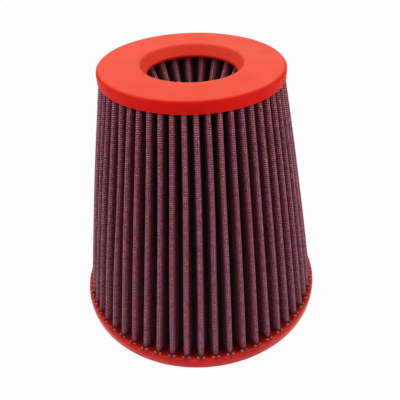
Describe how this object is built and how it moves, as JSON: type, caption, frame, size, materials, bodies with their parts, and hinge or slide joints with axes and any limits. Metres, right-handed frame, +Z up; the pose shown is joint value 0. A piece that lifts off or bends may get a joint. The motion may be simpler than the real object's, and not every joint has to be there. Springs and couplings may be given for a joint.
{
  "type": "cone air filter",
  "caption": "Engine air filter: an outer pleated gauze cone with an inverted pleated cone inside it, between a moulded top ring and a wider moulded base ring.",
  "frame": {"origin": "centre of the base cap's underside", "axes": "+Z up along the filter's axis from the base cap to the top cap; -Y towards the viewer, with the foot of a pleat facing -Y"},
  "size_m": [0.206, 0.206, 0.2035],
  "materials": {
    "top_cap": "satin moulded red polyurethane, soft edges",
    "base_cap": "glossy deep red moulded polyurethane",
    "gauze": "oiled burgundy cotton gauze, pleated",
    "screen": "fine woven wire screen with a clear coat, stained by the oil",
    "plug": "satin moulded red polyurethane"
  },
  "bodies": {
    "root": {"top_cap": "top_cap", "base_cap": "base_cap", "outer_gauze": "gauze", "outer_screen": "screen", "inner_cone_gauze": "gauze", "inner_cone_screen": "screen", "inner_cone_plug": "plug"}
  },
  "joints": []
}
